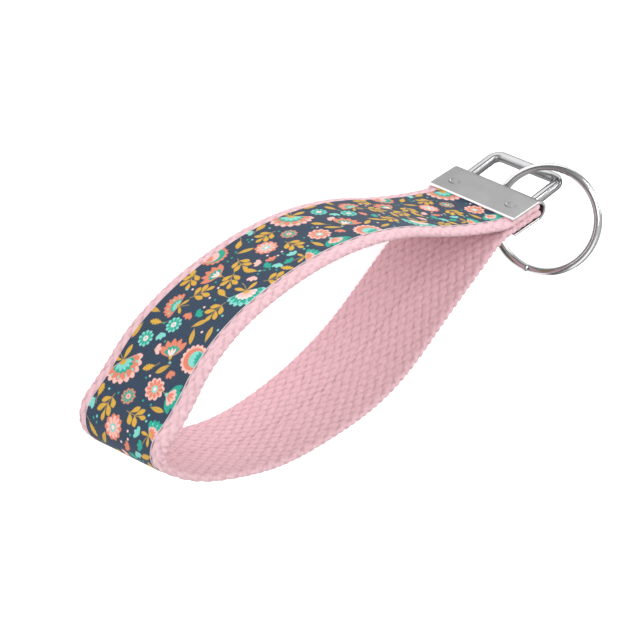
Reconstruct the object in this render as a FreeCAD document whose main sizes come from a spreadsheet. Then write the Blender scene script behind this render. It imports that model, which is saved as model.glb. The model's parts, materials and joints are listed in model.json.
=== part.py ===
import FreeCAD, Part
import math
import os

# A wristlet keychain: one webbing strap folded into a loop, a printed ribbon on its outside, a
# folded metal clamp on the strap's two ends, a wire loop hinged in the clamp's fold, and a split
# ring on the wire loop. The strap stands on one long edge. +X runs from the ring to the loop's
# closed end, -Y is the side the strap's front run bows to, and +Z is across the strap's width.
# Lengths are in millimetres. Each sketch has its own origin in the middle of the clamp's mouth.

SIZES = [
    ("webbing_width", 31.75),
    ("webbing_thickness", 1.9),
    ("layer_gap", 0.1),
    ("ribbon_width", 24.4),
    ("ribbon_thickness", 0.25),
    ("grip_depth", 8.9),
    ("plate_thickness", 0.7),
    ("plate_length", 10.1),
    ("clamp_width", 31.2),
    ("leg_slot_width", 4.6),
    ("leg_slot_height", 4.9),
    ("tooth_spread", 21.0),
    ("tooth_width", 1.8),
    ("wire_diameter", 3.0),
    ("wire_play", 0.05),
    ("leg_spread", 23.8),
    ("loop_reach", 13.6),
    ("loop_corner_radius", 2.3),
    ("loop_rest_angle", 4.5),
    ("ring_outer_diameter", 31.5),
    ("ring_band_width", 2.1),
    ("coil_height", 1.38),
    ("coil_gap", 0.04),
    ("ring_centre_x", -17.1),
    ("ring_centre_y", 7.9),
    ("ring_centre_height", 28.0),
    ("ring_azimuth", -32.2),
    ("ring_tilt", 68.5),
    ("ring_spin", 114.0),
    ("mouth_x", -47.74),
    ("mouth_y", -1.15),
]

# The strap's centre line as runs that leave the clamp's mouth, go round the loop and come back.
# Each run is (heading at its end in degrees, length); its heading changes evenly from the run
# before, so a run is an arc or a straight. The two lengths of None close the loop.
STRAP_RUNS = [
    (-19.0, 3.0),
    (-28.0, None),
    (10.0, 57.0),
    (40.0, 25.0),
    (24.0, 12.0),
    (137.0, 13.0),
    (155.0, 28.0),
    (176.0, 18.0),
    (205.0, 45.0),
    (210.0, None),
    (180.0, 9.0),
]

RING_TRANSITION_DEG = 50.0  # how much of the ring the coil takes to cross to its other level
RING_END_GAP_DEG = 5.0  # between each coil end and the crossing coil
CROSSING_STEPS = 8
COIL_EDGE_RADIUS = 0.35
WINDOW_LENGTH = 1.2  # the window each clamp tooth is pressed out of, along the plate
WINDOW_X = -5.2
WINDOW_OVERCUT = 0.1
TOOTH_BITE = 0.9  # how far a tooth reaches into the strap
TOOTH_TIP_START = 0.2  # the tip's two ends, from the window's far side
TOOTH_TIP_END = 0.6
TOOTH_ROOT_OVERLAP = 0.5  # how far a tooth's root runs under the plate beside its window
TOOTH_ROOT_DEPTH = 0.3  # how deep in the plate the root starts

UP = FreeCAD.Vector(0, 0, 1)


def fill_sheet(doc):
    """The spreadsheet that holds the driving dimensions, one alias a row."""
    sheet = doc.addObject("Spreadsheet::Sheet", "sizes")
    for row, (alias, value) in enumerate(SIZES, start=1):
        sheet.set("A%d" % row, alias)
        sheet.set("B%d" % row, str(value))
        sheet.setAlias("B%d" % row, alias)
    doc.recompute()
    return sheet


def along(heading, distance):
    """A step in the sketch plane."""
    return FreeCAD.Vector(math.cos(heading) * distance, math.sin(heading) * distance, 0)


def arc_step(start, end, length):
    """The straight step between the ends of a run whose heading goes from start to end."""
    half = (end - start) / 2
    shortening = math.sin(half) / half if abs(half) > 1e-9 else 1.0
    return along((start + end) / 2, length * shortening)


def close_runs(step_home):
    """STRAP_RUNS as (start heading, end heading, length), with the two open lengths solved so
    that the runs together make the step step_home."""
    headings = [0.0] + [math.radians(heading) for heading, _ in STRAP_RUNS]
    runs = [
        [headings[i], headings[i + 1], length] for i, (_, length) in enumerate(STRAP_RUNS)
    ]
    first, second = [run for run in runs if run[2] is None]
    known = FreeCAD.Vector(0, 0, 0)
    for start, end, length in runs:
        if length is not None:
            known += arc_step(start, end, length)
    need = step_home - known
    a = arc_step(first[0], first[1], 1.0)
    b = arc_step(second[0], second[1], 1.0)
    cross = a.x * b.y - a.y * b.x
    first[2] = (need.x * b.y - need.y * b.x) / cross
    second[2] = (a.x * need.y - a.y * need.x) / cross
    return [tuple(run) for run in runs]


def strap_runs(sheet):
    """Where the centre line starts and all its runs, with the straight ends in the clamp."""
    offset = (sheet.webbing_thickness + sheet.layer_gap) / 2
    grip = sheet.grip_depth
    runs = close_runs(FreeCAD.Vector(0, 2 * offset, 0))
    runs = [(0.0, 0.0, grip)] + runs + [(math.pi, math.pi, grip)]
    return FreeCAD.Vector(-grip, -offset, 0), runs


def beside(point, heading, offset):
    """The point offset to the right of a heading, which is the outside of the loop."""
    return point + along(heading - math.pi / 2, offset)


def side_curves(start, runs, offset):
    """The centre line's curves moved to one side, and the first and last point."""
    curves = []
    here = start
    first = beside(start, runs[0][0], offset)
    for a, b, length in runs:
        there = here + arc_step(a, b, length)
        begin = beside(here, a, offset)
        finish = beside(there, b, offset)
        if abs(b - a) < 1e-9:
            curves.append(Part.LineSegment(begin, finish))
        else:
            middle = here + arc_step(a, (a + b) / 2, length / 2)
            curves.append(Part.Arc(begin, beside(middle, (a + b) / 2, offset), finish))
        here = there
    return curves, first, beside(here, runs[-1][1], offset)


def new_body(doc, name):
    """A body whose sketches start at the middle of the clamp's mouth."""
    body = doc.addObject("PartDesign::Body", name)
    body.Label = name
    body.setExpression("Placement.Base.x", "sizes.mouth_x")
    body.setExpression("Placement.Base.y", "sizes.mouth_y")
    return body


def flat_sketch(body, curves, name):
    """A sketch of closed outlines on the body's XY plane."""
    sketch = body.newObject("Sketcher::SketchObject", name)
    for curve in curves:
        sketch.addGeometry(curve, False)
    return sketch


def strip(doc, sheet, name, inner, outer, width):
    """A strip that follows the strap between two offsets from its centre line."""
    body = new_body(doc, name)
    start, runs = strap_runs(sheet)
    inner_curves, inner_first, inner_last = side_curves(start, runs, inner)
    outer_curves, outer_first, outer_last = side_curves(start, runs, outer)
    ends = [
        Part.LineSegment(inner_first, outer_first),
        Part.LineSegment(inner_last, outer_last),
    ]
    sketch = flat_sketch(body, inner_curves + outer_curves + ends, name + "_outline")
    pad = body.newObject("PartDesign::Pad", name + "_pad")
    pad.Profile = sketch
    pad.setExpression("Length", width)
    body.Tip = pad
    return body


def webbing_strap(doc, sheet):
    half = sheet.webbing_thickness / 2
    return strip(doc, sheet, "webbing_strap", -half, half, "sizes.webbing_width")


def printed_ribbon(doc, sheet):
    half = sheet.webbing_thickness / 2
    outer = half + sheet.ribbon_thickness
    body = strip(doc, sheet, "printed_ribbon", half, outer, "sizes.ribbon_width")
    body.setExpression("Placement.Base.z", "(sizes.webbing_width - sizes.ribbon_width) / 2")
    return body


def clamp_gap(sheet):
    """Half the space between the clamp's plates: one layer of ribbon and one of webbing."""
    return sheet.layer_gap / 2 + sheet.webbing_thickness + sheet.ribbon_thickness


def polygon(points):
    """Closed straight sides through (x, y) points."""
    vectors = [FreeCAD.Vector(x, y, 0) for x, y in points]
    return [
        Part.LineSegment(vectors[i], vectors[(i + 1) % len(vectors)])
        for i in range(len(vectors))
    ]


def clamp_outline(sheet):
    """The folded plate's edge: two plates joined by a half-round fold."""
    inner = clamp_gap(sheet)
    outer = inner + sheet.plate_thickness
    fold = -sheet.plate_length

    def point(x, y):
        return FreeCAD.Vector(x, y, 0)

    curves = []
    for radius in (inner, outer):
        curves.append(Part.LineSegment(point(0, -radius), point(fold, -radius)))
        curves.append(
            Part.Arc(point(fold, -radius), point(fold - radius, 0), point(fold, radius))
        )
        curves.append(Part.LineSegment(point(fold, radius), point(0, radius)))
    for side in (-1, 1):
        curves.append(Part.LineSegment(point(0, side * inner), point(0, side * outer)))
    return curves


def box_outline(x_low, x_high, y_low, y_high):
    return polygon([(x_low, y_low), (x_high, y_low), (x_high, y_high), (x_low, y_high)])


def add_slab(body, kind, name, curves, height_expression, length_expression):
    """A pad or pocket of a sketch, as thick as length_expression and centred on a height."""
    sketch = flat_sketch(body, curves, name + "_outline")
    sketch.setExpression("Placement.Base.z", height_expression)
    feature = body.newObject(kind, name)
    feature.Profile = sketch
    feature.setExpression("Length", length_expression)
    feature.SideType = "Symmetric"
    return feature


def clamp(doc, sheet):
    """The folded plate, with a slot in the fold for each leg and four pressed-in teeth."""
    body = new_body(doc, "clamp")
    middle = "sizes.webbing_width / 2"
    add_slab(body, "PartDesign::Pad", "clamp_plate", clamp_outline(sheet), middle,
             "sizes.clamp_width")
    inner = clamp_gap(sheet)
    outer = inner + sheet.plate_thickness
    slot_half = sheet.leg_slot_height / 2
    slot = box_outline(-sheet.plate_length - 2 * outer, -sheet.plate_length, -slot_half,
                       slot_half)
    windows = []
    teeth = []
    root = WINDOW_X + WINDOW_LENGTH
    for side in (-1, 1):
        ends = sorted((side * (inner - WINDOW_OVERCUT), side * (outer + WINDOW_OVERCUT)))
        windows += box_outline(WINDOW_X, root, ends[0], ends[1])
        tip = side * (inner - TOOTH_BITE)
        teeth += polygon([
            (root + TOOTH_ROOT_OVERLAP, side * inner),
            (root - WINDOW_OVERCUT, side * (inner + TOOTH_ROOT_DEPTH)),
            (WINDOW_X + TOOTH_TIP_START, tip),
            (WINDOW_X + TOOTH_TIP_END, tip),
        ])
    for side, word in ((-1, "low"), (1, "high")):
        leg = "%s + %d * sizes.leg_spread / 2" % (middle, side)
        tooth = "%s + %d * sizes.tooth_spread / 2" % (middle, side)
        add_slab(body, "PartDesign::Pocket", word + "_leg_slot", slot, leg,
                 "sizes.leg_slot_width")
        add_slab(body, "PartDesign::Pocket", word + "_windows", windows, tooth,
                 "sizes.tooth_width")
        last = add_slab(body, "PartDesign::Pad", word + "_teeth", teeth, tooth,
                        "sizes.tooth_width")
    body.Tip = last
    return body


def wire_loop_path(sheet):
    """The centre line of the wire loop, with the hinged bar's middle at the origin."""
    near = 0.0
    far = -sheet.loop_reach
    half = sheet.leg_spread / 2
    r = sheet.loop_corner_radius
    corners = [(near, -half), (near, half), (far, half), (far, -half)]
    curves = []
    for i, (x, y) in enumerate(corners):
        here = FreeCAD.Vector(x, y, 0)
        back = FreeCAD.Vector(corners[i - 1][0], corners[i - 1][1], 0)
        ahead = FreeCAD.Vector(corners[(i + 1) % 4][0], corners[(i + 1) % 4][1], 0)
        to_back = (back - here).normalize()
        to_ahead = (ahead - here).normalize()
        centre = here + (to_back + to_ahead) * r
        nearest = centre - (to_back + to_ahead).normalize() * r
        curves.append(Part.Arc(here + to_back * r, nearest, here + to_ahead * r))
        curves.append(Part.LineSegment(here + to_ahead * r, ahead - to_ahead * r))
    return curves


def wire_loop(doc, sheet):
    """A closed rectangle of round wire, swept along its centre line. Its hinged bar lies against
    the inside of the clamp's fold."""
    body = new_body(doc, "wire_loop")
    fold_inside = (
        "sizes.mouth_x - sizes.plate_length"
        " - sizes.layer_gap / 2 - sizes.webbing_thickness - sizes.ribbon_thickness"
    )
    body.setExpression(
        "Placement.Base.x", fold_inside + " + sizes.wire_diameter / 2 + sizes.wire_play"
    )
    body.setExpression("Placement.Base.z", "sizes.webbing_width / 2")
    body.Placement.Rotation = FreeCAD.Rotation(UP, sheet.loop_rest_angle)
    path = flat_sketch(body, wire_loop_path(sheet), "wire_loop_path")
    path.Placement = FreeCAD.Placement(
        FreeCAD.Vector(0, 0, 0), FreeCAD.Rotation(FreeCAD.Vector(1, 0, 0), 90)
    )
    centre = FreeCAD.Vector(0, 0, 0)
    circle = Part.Circle(centre, UP, sheet.wire_diameter / 2)
    profile = flat_sketch(body, [circle], "wire_section")
    profile.Placement.Base = FreeCAD.Vector(-sheet.loop_reach, 0, 0)
    sweep = body.newObject("PartDesign::AdditivePipe", "wire_loop_sweep")
    sweep.Profile = profile
    sweep.Spine = (path, ["Edge%d" % (i + 1) for i in range(8)])
    body.Tip = sweep
    return body


def coil_section(sheet, radius, level):
    """The coil's cross-section, a rectangle with rounded edges, at angle 0."""
    width = sheet.ring_band_width
    height = sheet.coil_height
    corner = FreeCAD.Vector(radius - width / 2, 0, level - height / 2)
    block = Part.makeBox(width, 1.0, height, corner)
    along_y = [edge for edge in block.Edges if abs(edge.tangentAt(0).y) > 0.9]
    rounded = block.makeFillet(COIL_EDGE_RADIUS, along_y)
    flat = [face for face in rounded.Faces if abs(face.CenterOfMass.y) < 1e-6]
    return flat[0]


def ring_angle_point(radius, degrees, level):
    angle = math.radians(degrees)
    return FreeCAD.Vector(radius * math.cos(angle), radius * math.sin(angle), level)


def split_ring(doc, sheet):
    """Two coils of flat wire joined where the wire crosses from one level to the other."""
    radius = (sheet.ring_outer_diameter - sheet.ring_band_width) / 2
    level = (sheet.coil_height + sheet.coil_gap) / 2
    half_cross = RING_TRANSITION_DEG / 2
    sweep_deg = 360.0 - 2 * half_cross - RING_END_GAP_DEG
    origin = FreeCAD.Vector(0, 0, 0)

    upper = coil_section(sheet, radius, level)
    upper.rotate(origin, UP, half_cross)
    upper_coil = upper.revolve(origin, UP, sweep_deg)
    lower = coil_section(sheet, radius, -level)
    lower.rotate(origin, UP, -half_cross)
    lower_coil = lower.revolve(origin, UP, -sweep_deg)

    points = []
    for i in range(CROSSING_STEPS + 1):
        share = i / CROSSING_STEPS
        ease = share * share * (3 - 2 * share)
        degrees = -half_cross + RING_TRANSITION_DEG * share
        points.append(ring_angle_point(radius, degrees, level * (2 * ease - 1)))
    tangents = []
    for degrees in (-half_cross, half_cross):
        tangents.append(ring_angle_point(1.0, degrees + 90, 0))
    path = Part.BSplineCurve()
    path.interpolate(Points=points, InitialTangent=tangents[0], FinalTangent=tangents[1])
    spine = Part.Wire([path.toShape()])
    shell = Part.BRepOffsetAPI.MakePipeShell(spine)
    shell.setBiNormalMode(UP)
    shell.add(lower.OuterWire)
    shell.build()
    shell.makeSolid()
    crossing = shell.shape()

    solid = upper_coil.fuse([crossing, lower_coil]).removeSplitter()
    ring = doc.addObject("Part::Feature", "split_ring")
    ring.Label = "split_ring"
    ring.Shape = solid.Solids[0] if len(solid.Solids) == 1 else solid
    centre = FreeCAD.Vector(
        sheet.mouth_x + sheet.ring_centre_x,
        sheet.mouth_y + sheet.ring_centre_y,
        sheet.ring_centre_height,
    )
    turn = FreeCAD.Rotation(UP, sheet.ring_azimuth)
    tilt = FreeCAD.Rotation(FreeCAD.Vector(0, 1, 0), sheet.ring_tilt)
    spin = FreeCAD.Rotation(UP, sheet.ring_spin)
    ring.Placement = FreeCAD.Placement(centre, turn * tilt * spin)
    return ring


def check(doc):
    """Stops on any object that didn't recompute or any shape that isn't sound."""
    for item in doc.Objects:
        if "Invalid" in item.State or "Error" in item.State:
            raise RuntimeError("%s: %s" % (item.Name, item.State))


def export(nodes):
    os.makedirs("parts", exist_ok=True)
    for node in nodes:
        shape = node.Shape
        if shape.isNull() or not shape.isValid():
            raise RuntimeError("%s has no sound shape" % node.Label)
        shape.exportStep("parts/%s.step" % node.Label)
        box = shape.BoundBox
        print(
            "%-15s %d solid %9.2f mm3  x %.3f %.3f  y %.3f %.3f  z %.3f %.3f"
            % (node.Label, len(shape.Solids), shape.Volume, box.XMin, box.XMax, box.YMin,
               box.YMax, box.ZMin, box.ZMax)
        )


def main():
    doc = FreeCAD.newDocument("wristlet_keychain")
    sheet = fill_sheet(doc)
    nodes = [
        make(doc, sheet)
        for make in (webbing_strap, printed_ribbon, clamp, wire_loop, split_ring)
    ]
    doc.recompute()
    check(doc)
    export(nodes)


main()
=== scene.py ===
import json
import math

import bmesh
import bpy
import numpy as np
from mathutils import Matrix, Vector


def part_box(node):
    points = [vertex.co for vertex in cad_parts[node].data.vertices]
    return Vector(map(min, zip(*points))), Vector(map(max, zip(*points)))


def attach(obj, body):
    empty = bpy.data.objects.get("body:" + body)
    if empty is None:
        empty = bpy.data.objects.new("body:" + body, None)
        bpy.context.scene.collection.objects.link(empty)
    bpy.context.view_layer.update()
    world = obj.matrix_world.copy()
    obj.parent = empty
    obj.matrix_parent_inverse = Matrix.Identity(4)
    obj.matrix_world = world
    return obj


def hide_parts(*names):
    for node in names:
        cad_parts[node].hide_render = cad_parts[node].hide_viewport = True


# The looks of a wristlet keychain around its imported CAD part: woven webbing, a printed ribbon, a
# satin clamp, a wire loop and a split ring. Names that end in _MM and the numbers that shapes are
# worked out with are in millimetres; points turn into metres as their mesh is made.

MM = 0.001

# The strap's centre line, the CAD strap's runs again: (heading at the run's end in degrees, length
# in mm). The two lengths of None close the loop.
STRAP_RUNS = [
    (-19.0, 3.0),
    (-28.0, None),
    (10.0, 57.0),
    (40.0, 25.0),
    (24.0, 12.0),
    (137.0, 13.0),
    (155.0, 28.0),
    (176.0, 18.0),
    (205.0, 45.0),
    (210.0, None),
    (180.0, 9.0),
]
WEBBING_THICKNESS_MM = 1.9
LAYER_GAP_MM = 0.1
GRIP_MM = 8.9
RIBBON_THICKNESS_MM = 0.25
LEAN = -0.127  # how far the strap's upper edge leans forward half way round, as a slope
TWIST = -0.04  # how much more it leans in its first half than in its second
# Where the strap stands further out: (share of the way round, reach of that share, mm, edge). The
# edge is 1 for the upper one, -1 for the lower one and 0 for half as much at both.
EDGE_BULGES = [
    (0.20, 0.14, 1.2, 0),
    (0.44, 0.065, 2.0, -1),
    (0.48, 0.05, -1.8, 1),
    (0.55, 0.05, 0.7, 1),
    (0.79, 0.065, 1.6, 1),
    (0.91, 0.06, -1.2, 0),
]

WARP_PITCH_MM = 1.42  # from one warp cord to the next, across the strap
FLOAT_PITCH_MM = 4.1  # from one warp float to the next, along the strap
RELIEF_MM = 0.38  # how high a float stands over the gaps beside it
WEAVE_LEVEL = 0.85  # the weave's height, from 0 to 1, that lies on the strap's own surface
EDGE_FLATTENING = 0.20  # the share of the relief that the strap's edges lose
UNDER_RIBBON_MM = 0.05  # how far the webbing stays below the ribbon
CLAMPED_RELIEF = 0.3  # the share of the relief that is left inside the clamp
CLAMP_FILL_MM = 0.22  # how far the webbing swells beside the ribbon inside the clamp
SELVAGE_WIDTH_MM = 1.6
SELVAGE_MM = 0.55  # how far each scallop of the strap's edges stands out
SELVAGE_INSET_MM = (0.53, 0.06)  # how far in the scallops start, at the lower and upper edge
EDGE_ROUNDING_MM = 0.10
FLOAT_SLANT = 0.55  # how many columns a float leans over in its own length
FLOAT_SHADE_OFFSET_MM = (0.36, 0.34)  # from a point to where a float's shade on it is looked for
# how strongly the painted shade on one side of each float shows
FLOAT_SHADE_CONTRAST = 1.6
CORNER_SPREAD_MM = 2.0  # how far the corners of the cut ends are squeezed into the clamp's fold
CORNER_REACH_MM = 3.0  # how far along the strap that spread reaches

RIB_PITCH_MM = 0.55  # from one of the ribbon's cross ribs to the next
RIBBON_STEP_MM = 0.15
RIBBON_INSET_MM = 0.05  # how far each side stays inside the CAD ribbon
RIBBON_SINK_MM = 0.02  # how far its back sinks into the webbing
RIBBON_EDGE_DROP_MM = 0.07
RIBBON_SAG_MM = 0.035

PLATE_THICKNESS_MM = 0.7
LIP_MM = (0.55, 0.55)  # how far the mouth's rounded lip runs along the plate and into it
TOOTH_SPREAD_MM = 21.0
TOOTH_BACK_MM = 4.9  # from the clamp's mouth to the middle of each tooth mark
TOOTH_DEPTH_MM = 0.9  # at a mark's deepest, which is the side towards the mouth
TOOTH_TILT = 0.40  # how much shallower its middle is, as a share
TOOTH_SIZE_MM = (1.35, 1.85)  # half a mark's size along the plate and across it
LEG_SPREAD_MM = 23.8
LEG_SLOT_MM = (4.6, 4.9)
SLOT_DEPTH_MM = 6.4
END_ROUND_MM = 0.2  # how much of each clamp end is rounded
END_SHRINK_MM = 0.16
LOOP_REACH_MM = 13.6
LOOP_CORNER_MM = 2.7
LOOP_ANGLE_DEG = 4.5
WIRE_MM = 3.0
RING_OUTER_MM = 31.5
RING_BAND_MM = 2.1
COIL_HEIGHT_MM = 1.38
COIL_GAP_MM = 0.04
COIL_SQUARENESS = 0.88  # 1 makes the coil's section an ellipse, and less makes it squarer
COIL_END_SIZE = 0.86  # the coil's size at its very ends, as a share
COIL_END_TAPER_DEG = 1.2
RING_CROSSING_DEG = 50.0
RING_END_GAP_DEG = 0.6
RING_AZIMUTH_DEG = -32.2
RING_TILT_DEG = 68.5
RING_SPIN_DEG = 114.0
BEND_SHADE_AND_WEAR = 0.8  # how much more a wire's inner side is darkened with painted shade, and roughened, in a bend
BEND_TURN = 0.1  # the turn from row to row, in radians, that counts as a bend
CUT_END_ROWS = 4  # how many rows at a wire's cut ends get painted shade and more roughness all round

PATTERN_LENGTH_MM = 58.0
PLACE_TRIES = 500
MOTIF_GAP_MM = 0.25

# The camera's own directions, its place from the clamp's mouth (its height from the floor), and
# its lens.
CAMERA_FORWARD = (-0.48772, 0.59449, -0.63931)
CAMERA_RIGHT = (-0.72657, 0.12957, 0.67477)
CAMERA_OFFSET = (0.25188, -0.23301, 0.27115)
CAMERA_LENS_MM = 86.0

LIGHTS = [
    # name, place, what it points at, size, power in watts
    ("key", (-0.35, -0.72, 0.60), (0, 0, 0.02), 0.5, 2.8),
    ("inner", (-0.50, -0.12, 0.38), (0.07, 0, 0.016), 0.3, 0.9),
    ("fill", (0.7, 0.1, 0.8), (0, 0, 0.02), 0.8, 1.3),
    ("front", (0.42, -0.50, 0.56), (0, 0, 0.02), 0.35, 1.7),
]
FLOOR_HALF_SIZE = 3
FLOOR_GLOW = 0.46
HORIZON_GREY = 0.16
ROOM_STRENGTH = 0.76

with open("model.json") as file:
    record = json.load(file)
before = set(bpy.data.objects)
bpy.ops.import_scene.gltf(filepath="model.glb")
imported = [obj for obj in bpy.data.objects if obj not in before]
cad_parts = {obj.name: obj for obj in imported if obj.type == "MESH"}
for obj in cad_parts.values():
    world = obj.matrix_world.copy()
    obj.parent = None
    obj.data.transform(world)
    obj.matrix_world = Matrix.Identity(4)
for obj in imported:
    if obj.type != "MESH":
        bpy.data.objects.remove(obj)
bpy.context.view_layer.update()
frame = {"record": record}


# Colours ------------------------------------------------------------------------------------


def linear(red, green, blue):
    """An sRGB colour given as 0 to 255, as linear numbers."""
    return tuple(
        c / 12.92 if c <= 0.04045 else ((c + 0.055) / 1.055) ** 2.4
        for c in (red / 255, green / 255, blue / 255)
    )


NAVY = linear(34, 54, 76)
MUSTARD = linear(206, 160, 52)
CORAL = linear(214, 124, 96)
PINK = linear(238, 182, 174)
BLUSH = linear(252, 212, 208)
TEAL = linear(22, 158, 136)
MINT = linear(122, 204, 192)
OLIVE = linear(150, 128, 84)
THREAD_WHITE = linear(232, 224, 226)
# The metals' grazing tints and tones are linear already.
DARK_EDGE = (0.04, 0.04, 0.04)
GREY_EDGE = (0.60, 0.60, 0.60)
SATIN = (0.33, 0.33, 0.33)
# A pale tone for the painted highlight on the clamp's lip and ends, and a dark tone for the
# painted shade inside its roll.
HIGHLIGHT_TONE = (0.80, 0.80, 0.80)
ROLL_SHADE_TONE = (0.20, 0.17, 0.17)
LOOP_TONE = (0.54, 0.54, 0.55)
RING_TONE = (0.66, 0.66, 0.67)


# The strap's centre line --------------------------------------------------------------------


def run_step(start, end, length):
    """The straight step between the ends of a run whose heading goes from start to end."""
    half = (end - start) / 2
    short = math.sin(half) / half if abs(half) > 1e-9 else 1.0
    middle = (start + end) / 2
    return np.array([math.cos(middle), math.sin(middle)]) * length * short


def closed_runs():
    """The runs with both open lengths solved, and a straight run in the clamp at each end."""
    headings = [0.0] + [math.radians(h) for h, _ in STRAP_RUNS]
    runs = [[headings[i], headings[i + 1], n] for i, (_, n) in enumerate(STRAP_RUNS)]
    known = sum((run_step(*run) for run in runs if run[2] is not None), np.zeros(2))
    need = np.array([0.0, WEBBING_THICKNESS_MM + LAYER_GAP_MM]) - known
    first, second = [run for run in runs if run[2] is None]
    sides = np.stack([run_step(first[0], first[1], 1), run_step(second[0], second[1], 1)], 1)
    first[2], second[2] = np.linalg.solve(sides, need)
    return [[0.0, 0.0, GRIP_MM]] + runs + [[math.pi, math.pi, GRIP_MM]]


def centre_line(step):
    """Distance along the strap, x, y and heading every step or so, all in mm, with the middle
    of the clamp's mouth at the origin."""
    here = np.array([-GRIP_MM, -(WEBBING_THICKNESS_MM + LAYER_GAP_MM) / 2])
    gone = 0.0
    rows = [(gone, here[0], here[1], 0.0)]
    for start, end, length in closed_runs():
        count = max(2, int(round(length / step)))
        for i in range(1, count + 1):
            turned = start + (end - start) * i / count
            there = here + run_step(start, turned, length * i / count)
            rows.append((gone + length * i / count, there[0], there[1], turned))
        here = there
        gone += length
    return np.array(rows).T


CLAMP_LOW, CLAMP_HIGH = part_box("clamp")
STRAP_LOW, STRAP_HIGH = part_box("webbing_strap")
MOUTH = np.array([CLAMP_HIGH.x, (CLAMP_LOW.y + CLAMP_HIGH.y) / 2])
STRAP_WIDTH_MM = (STRAP_HIGH.z - STRAP_LOW.z) / MM
RIBBON_WIDTH_MM = (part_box("printed_ribbon")[1].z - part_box("printed_ribbon")[0].z) / MM
CLAMP_HALF_MM = (CLAMP_HIGH.y - CLAMP_LOW.y) / MM / 2
CLAMP_ENDS = (CLAMP_LOW.z - 0.20 * MM, CLAMP_HIGH.z + 0.35 * MM)  # the burred ends stand out


def strap_points(line, across, out):
    """Points beside the centre line: across is the distance from the strap's middle, out the
    distance from its middle surface. Each is one row a station; all in mm, given in metres."""
    gone, x, y, heading = (part[:, None] for part in line)
    share = np.clip((gone - GRIP_MM) / (gone[-1, 0] - 2 * GRIP_MM), 0, 1)
    slope = LEAN * np.sin(math.pi * share) ** 1.6
    slope = slope + TWIST * np.sin(2 * math.pi * share) * np.cos(math.pi * share) ** 2
    scale = 1 / np.sqrt(1 + slope**2)
    out_x, out_y = np.sin(heading), -np.cos(heading)
    for middle, reach, bulge, edge in EDGE_BULGES:
        nearness = np.exp(-(((share - middle) / reach) ** 2))
        out = out + bulge * nearness * (0.5 + edge * across / STRAP_WIDTH_MM)
    px = x + out * out_x
    py = y + out * out_y + across * slope * scale
    pz = (STRAP_WIDTH_MM / 2 + across) * scale - out * out_y * slope * scale
    return np.stack([px * MM + MOUTH[0], py * MM + MOUTH[1], pz * MM], -1)


# Meshes -------------------------------------------------------------------------------------


def grid_faces(rows, columns, wrap):
    """Quads between neighbouring rows of points; wrap joins each row's end to its start."""
    last = columns if wrap else columns - 1
    a = np.arange(rows - 1)[:, None] * columns
    b = np.arange(last)[None, :]
    c = (b + 1) % columns
    quads = np.stack([a + b, a + c, a + columns + c, a + columns + b], -1)
    return quads.reshape(-1, 4)


def end_caps(rows, columns):
    """The faces that close the first and last row of points."""
    return [range(columns - 1, -1, -1), range((rows - 1) * columns, rows * columns)]


def new_object(name, points, quads, extra_faces=()):
    """A smooth mesh object from points and quads."""
    mesh = bpy.data.meshes.new(name)
    mesh.from_pydata(points.tolist(), [], quads.tolist() + [list(f) for f in extra_faces])
    mesh.shade_smooth()
    thing = bpy.data.objects.new(name, mesh)
    bpy.context.scene.collection.objects.link(thing)
    return thing


def add_attribute(thing, name, values):
    """One number for each vertex, for the materials to read."""
    attribute = thing.data.attributes.new(name, "FLOAT", "POINT")
    attribute.data.foreach_set("value", np.ascontiguousarray(values, np.float32).ravel())


def add_vector(thing, name, values):
    """Three numbers for each vertex, for the materials to read."""
    attribute = thing.data.attributes.new(name, "FLOAT_VECTOR", "POINT")
    attribute.data.foreach_set("vector", np.ascontiguousarray(values, np.float32).ravel())


def add_flat_place(thing, shape, along, across):
    """Where each point lies on the cloth when it is flat, in mm."""
    flat = np.zeros((*shape, 3))
    flat[:, :, 0] = along
    flat[:, :, 1] = across
    add_vector(thing, "flat_mm", flat)


def add_colours(thing, name, values):
    """A linear colour for each vertex."""
    rgba = np.ones((len(values), 4), np.float32)
    rgba[:, :3] = values
    attribute = thing.data.color_attributes.new(name, "FLOAT_COLOR", "POINT")
    attribute.data.foreach_set("color", rgba.ravel())


def slow_noise(gone, across, seed, scale):
    """A smooth random value from -1 to 1 that changes over about scale mm."""
    random = np.random.RandomState(seed)
    total = 0
    for _ in range(5):
        turn = random.uniform(0, 2 * math.pi)
        size = scale * random.uniform(0.7, 1.6)
        phase = random.uniform(0, 2 * math.pi)
        total = total + np.sin(
            (gone * math.cos(turn) + across * math.sin(turn)) * 2 * math.pi / size + phase
        )
    return total / 5


# Webbing ------------------------------------------------------------------------------------


def weave(gone, round_it):
    """Height from 0 to 1 of the woven warp floats. Each is a soft pad that bulges over its
    neighbours. Each column of floats is half a float on from the last and slants the other way.
    No two floats are quite the same size or in quite the right place."""
    along = gone / FLOAT_PITCH_MM + 0.05 * slow_noise(gone, round_it, seed=5, scale=13.0)
    across = round_it / WARP_PITCH_MM + 0.07 * slow_noise(gone, round_it, seed=3, scale=17.0)
    height = np.zeros(np.broadcast(gone, round_it).shape)
    nearest_column = np.round(across)
    for step in (-1, 0, 1):
        column = nearest_column + step
        odd = column % 2
        shift = along - 0.5 * odd + 0.03 * np.sin(column * 12.9898 + 1.7)
        number = np.round(shift)
        fat = 1 + 0.06 * np.sin(number * 7.31 + column * 3.17)
        nudge = 0.02 * np.sin(number * 4.13 + column * 9.71)
        lean = FLOAT_SLANT * (1 - 2 * odd) * (shift - number)
        beside = (across - column + nudge + lean) / (0.92 * fat)
        ahead = (shift - number + nudge) / (0.42 * fat)
        pad = np.clip(1 - beside**2 - np.abs(ahead) ** 2.2, 0, 1) ** 0.7
        height = np.maximum(height, pad * (1 + 0.08 * np.sin(number * 5.7 + column * 2.3)))
    return height


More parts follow.
